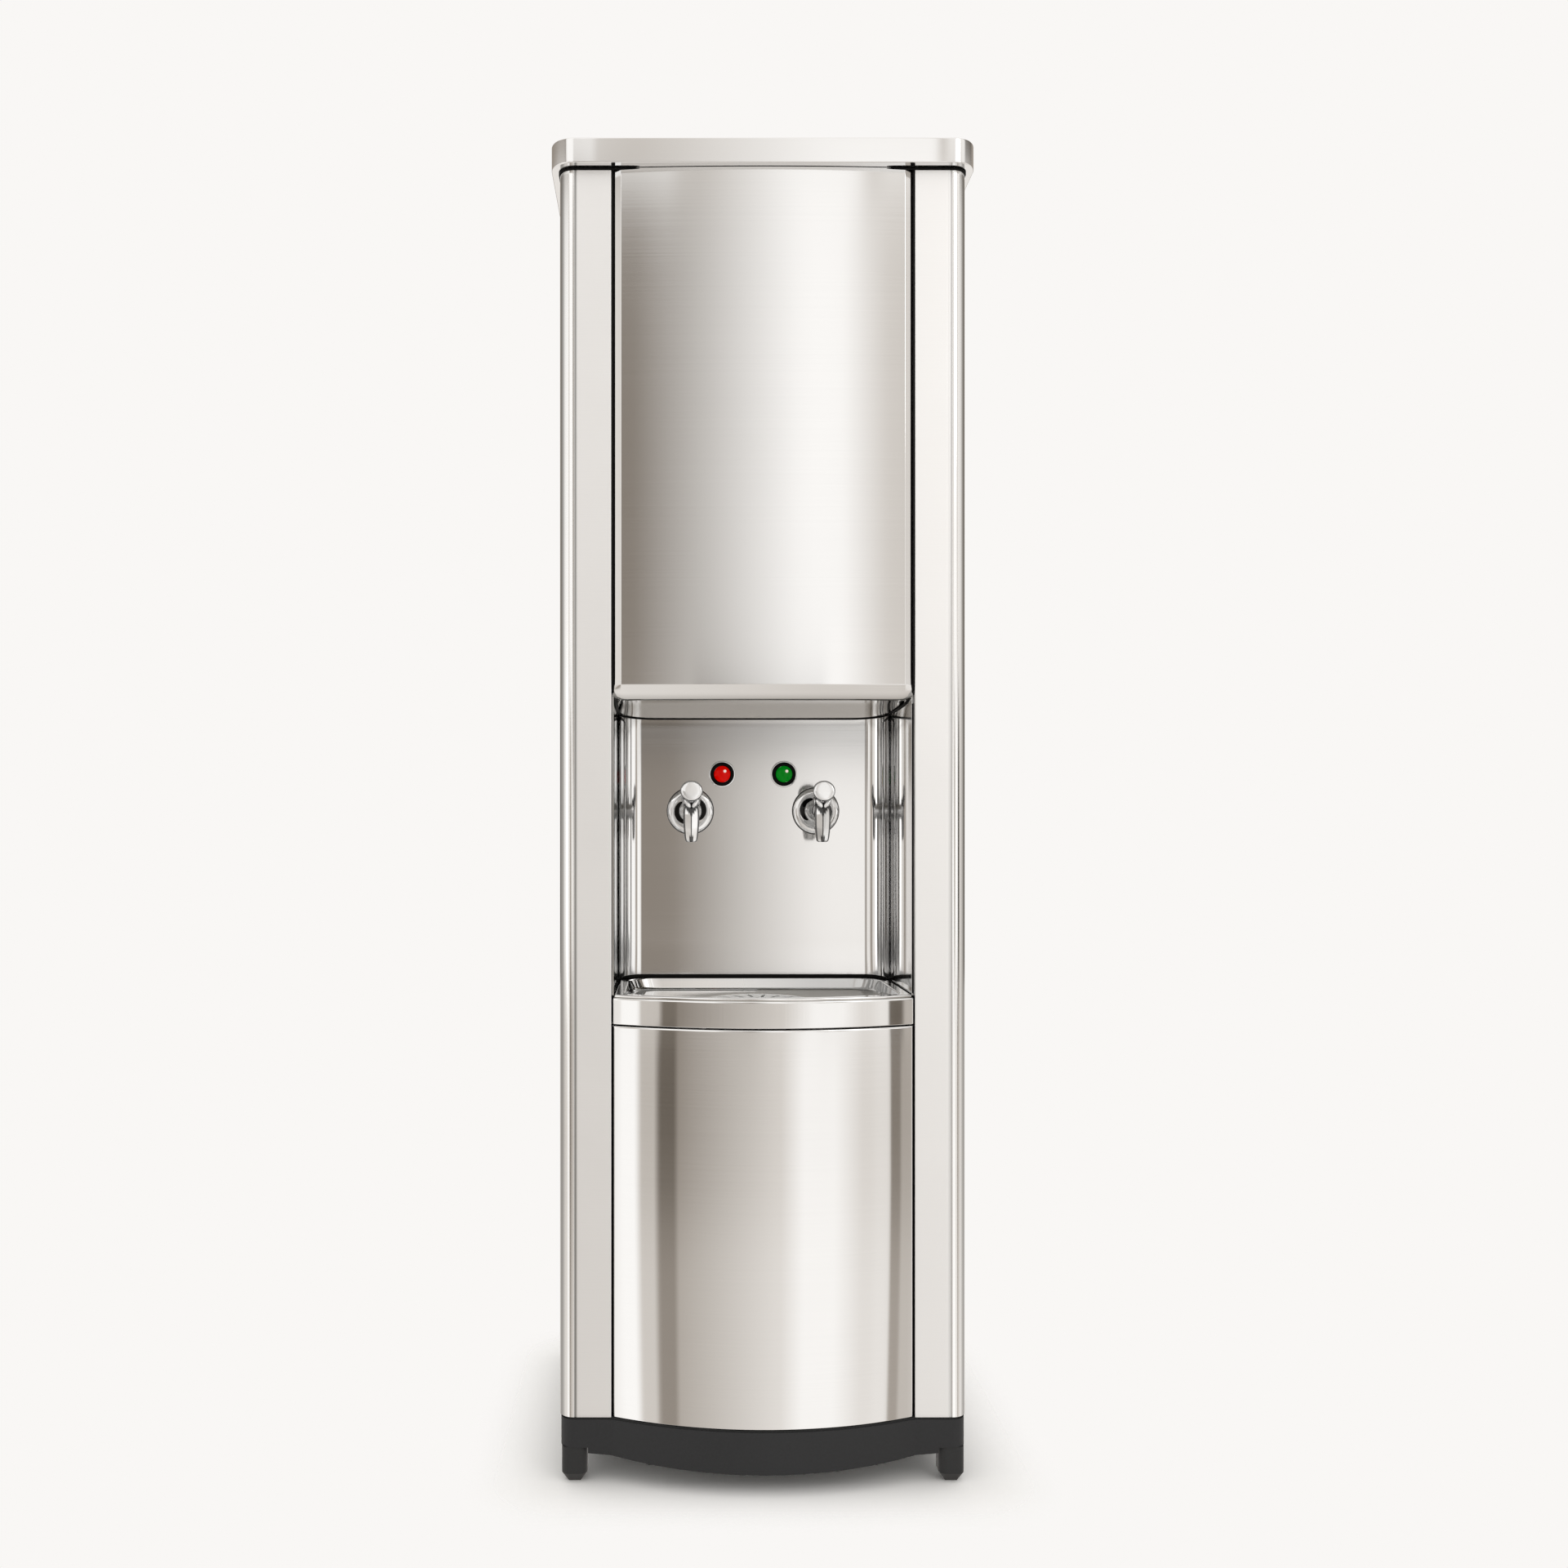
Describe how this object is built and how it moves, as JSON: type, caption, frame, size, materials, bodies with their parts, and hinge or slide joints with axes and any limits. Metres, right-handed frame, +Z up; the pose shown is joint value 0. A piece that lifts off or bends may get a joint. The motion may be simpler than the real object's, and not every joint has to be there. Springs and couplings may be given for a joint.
{
  "type": "storage water cooler",
  "caption": "Tall free-standing stainless steel water cooler with a lift-off cap, a recessed niche with lever taps and pilot lamps, a drip basin with a strainer and a bowed lower panel.",
  "frame": {"origin": "centre of the bounding box's footprint, on the floor under the feet", "axes": "+Z up along the cabinet, +X to the right seen from the front, +Y to the rear, so the taps face -Y"},
  "size_m": [0.416, 0.4, 1.312],
  "materials": {
    "side_steel": "satin, faint vertical rolling lines",
    "hood_steel": "bright satin, horizontal grain",
    "lower_steel": "bright satin, horizontal grain",
    "niche_steel": "satin",
    "basin_steel": "bright pressed sheet",
    "strainer_steel": "polished disc",
    "cap_steel": "fine satin, slightly darker",
    "back_steel": "galvanised sheet with faint spangle",
    "frame_steel": "galvanised sheet",
    "pan_steel": "black powder coat",
    "plinth_plastic": "charcoal moulding, fine texture",
    "foot_plastic": "black moulding",
    "tap_chrome": "polished chrome plate",
    "stem_steel": "turned steel",
    "spring_steel": "spring wire",
    "nut_brass": "turned brass",
    "bezel_plastic": "black, glossy",
    "lens_red": "clear red dome",
    "lens_green": "clear green dome",
    "tank_steel": "food-grade, bright",
    "foam": "rigid foam skin",
    "copper": "drawn copper tube",
    "lid_plastic": "white moulding",
    "valve_plastic": "white acetal",
    "float_plastic": "white blow moulding",
    "hose_silicone": "milky silicone hose",
    "hose_grey": "grey waste hose",
    "fitting_plastic": "black nylon",
    "fitting_brass": "turned brass",
    "control_plastic": "black",
    "rocker_red": "red rocker",
    "rocker_green": "green rocker",
    "screw_steel": "zinc plated",
    "compressor_paint": "black enamel",
    "condenser_paint": "black enamel on tube and wire",
    "grommet_rubber": "black rubber",
    "heater_steel": "sheathed element"
  },
  "bodies": {
    "cabinet": {"plinth": "plinth_plastic", "feet": "foot_plastic", "base_pan": "pan_steel", "left_side_panel": "side_steel", "right_side_panel": "side_steel", "lower_panel": "lower_steel", "hood_panel": "hood_steel", "niche_shell": "niche_steel", "basin": "basin_steel", "drain_tail": "valve_plastic", "drain_hose": "hose_grey", "drain_outlet": "fitting_plastic", "inlet_fitting": "fitting_brass", "cord_gland": "fitting_plastic", "top_frame": "frame_steel", "tank_shelf": "frame_steel", "back_panel": "back_steel", "back_screws": "screw_steel", "thermostat_body": "control_plastic", "switch_frames": "control_plastic", "tank_insulation": "foam", "cold_tank": "tank_steel", "tank_lid": "lid_plastic", "evaporator_coil": "copper", "float_valve": "valve_plastic", "inlet_hose": "hose_silicone", "cold_line": "hose_silicone", "hot_feed_line": "hose_silicone", "hot_supply_line": "hose_silicone", "hot_tank": "tank_steel", "hot_tank_insulation": "foam", "heater": "heater_steel", "tap_pins": "stem_steel", "tap_nuts": "nut_brass", "compressor": "compressor_paint", "compressor_grommets": "grommet_rubber", "relay_cover": "control_plastic", "condenser": "condenser_paint", "filter_drier": "copper", "capillary_line": "copper", "suction_line": "copper", "discharge_line": "copper", "tap_body_left": "tap_chrome", "tap_spring_left": "spring_steel", "lamp_bezel_left": "bezel_plastic", "tap_body_right": "tap_chrome", "tap_spring_right": "spring_steel", "lamp_bezel_right": "bezel_plastic", "lamp_lens_left": "lens_red", "lamp_lens_right": "lens_green"},
    "tap_lever_left": {"tap_lever_left": "tap_chrome"},
    "tap_lever_right": {"tap_lever_right": "tap_chrome"},
    "tap_stem_left": {"tap_stem_left": "stem_steel"},
    "tap_stem_right": {"tap_stem_right": "stem_steel"},
    "strainer": {"basin_strainer": "strainer_steel"},
    "cap": {"top_cap": "cap_steel"},
    "dial": {"thermostat_dial": "control_plastic"},
    "hot_rocker": {"hot_switch_rocker": "rocker_red"},
    "cold_rocker": {"cold_switch_rocker": "rocker_green"},
    "float": {"float_arm": "float_plastic"}
  },
  "joints": [
    {"name": "tap_lever_left", "type": "hinge", "parent": "cabinet", "child": "tap_lever_left", "pos_m": [-0.069, -0.057, 0.668], "axis": [1, 0, 0], "range_deg": [0, 18], "stiffness_Nm_per_rad": 0.4, "springref_deg": -8.59},
    {"name": "tap_lever_right", "type": "hinge", "parent": "cabinet", "child": "tap_lever_right", "pos_m": [0.069, -0.057, 0.668], "axis": [1, 0, 0], "range_deg": [0, 18], "stiffness_Nm_per_rad": 0.4, "springref_deg": -8.59},
    {"name": "tap_stem_left", "type": "slide", "parent": "cabinet", "child": "tap_stem_left", "axis": [0, 0, -1], "range_m": [0, 0.00201], "deforming": ["tap_spring_left"]},
    {"name": "tap_stem_right", "type": "slide", "parent": "cabinet", "child": "tap_stem_right", "axis": [0, 0, -1], "range_m": [0, 0.00201], "deforming": ["tap_spring_right"]},
    {"name": "strainer_lift", "type": "slide", "parent": "cabinet", "child": "strainer", "axis": [0, 0, 1], "range_m": [0, 0.04]},
    {"name": "cap_lift", "type": "slide", "parent": "cabinet", "child": "cap", "axis": [0, 0, 1], "range_m": [0, 0.05]},
    {"name": "thermostat_dial", "type": "hinge", "parent": "cabinet", "child": "dial", "pos_m": [0.095, 0.1873, 0.69], "axis": [0, 1, 0], "range_deg": [0, 270]},
    {"name": "hot_switch", "type": "hinge", "parent": "cabinet", "child": "hot_rocker", "pos_m": [0.072, 0.176, 0.61], "axis": [1, 0, 0], "range_deg": [0, 16]},
    {"name": "cold_switch", "type": "hinge", "parent": "cabinet", "child": "cold_rocker", "pos_m": [0.118, 0.176, 0.61], "axis": [1, 0, 0], "range_deg": [0, 16]},
    {"name": "float_arm", "type": "hinge", "parent": "cabinet", "child": "float", "pos_m": [0.06, 0.0513, 1.1692], "axis": [1, 0, 0], "range_deg": [-28, 0]}
  ],
  "couplings": [
    {"joint": "tap_stem_left", "follows": "tap_lever_left", "m_per_rad": 0.0063662},
    {"joint": "tap_stem_right", "follows": "tap_lever_right", "m_per_rad": 0.0063662}
  ]
}
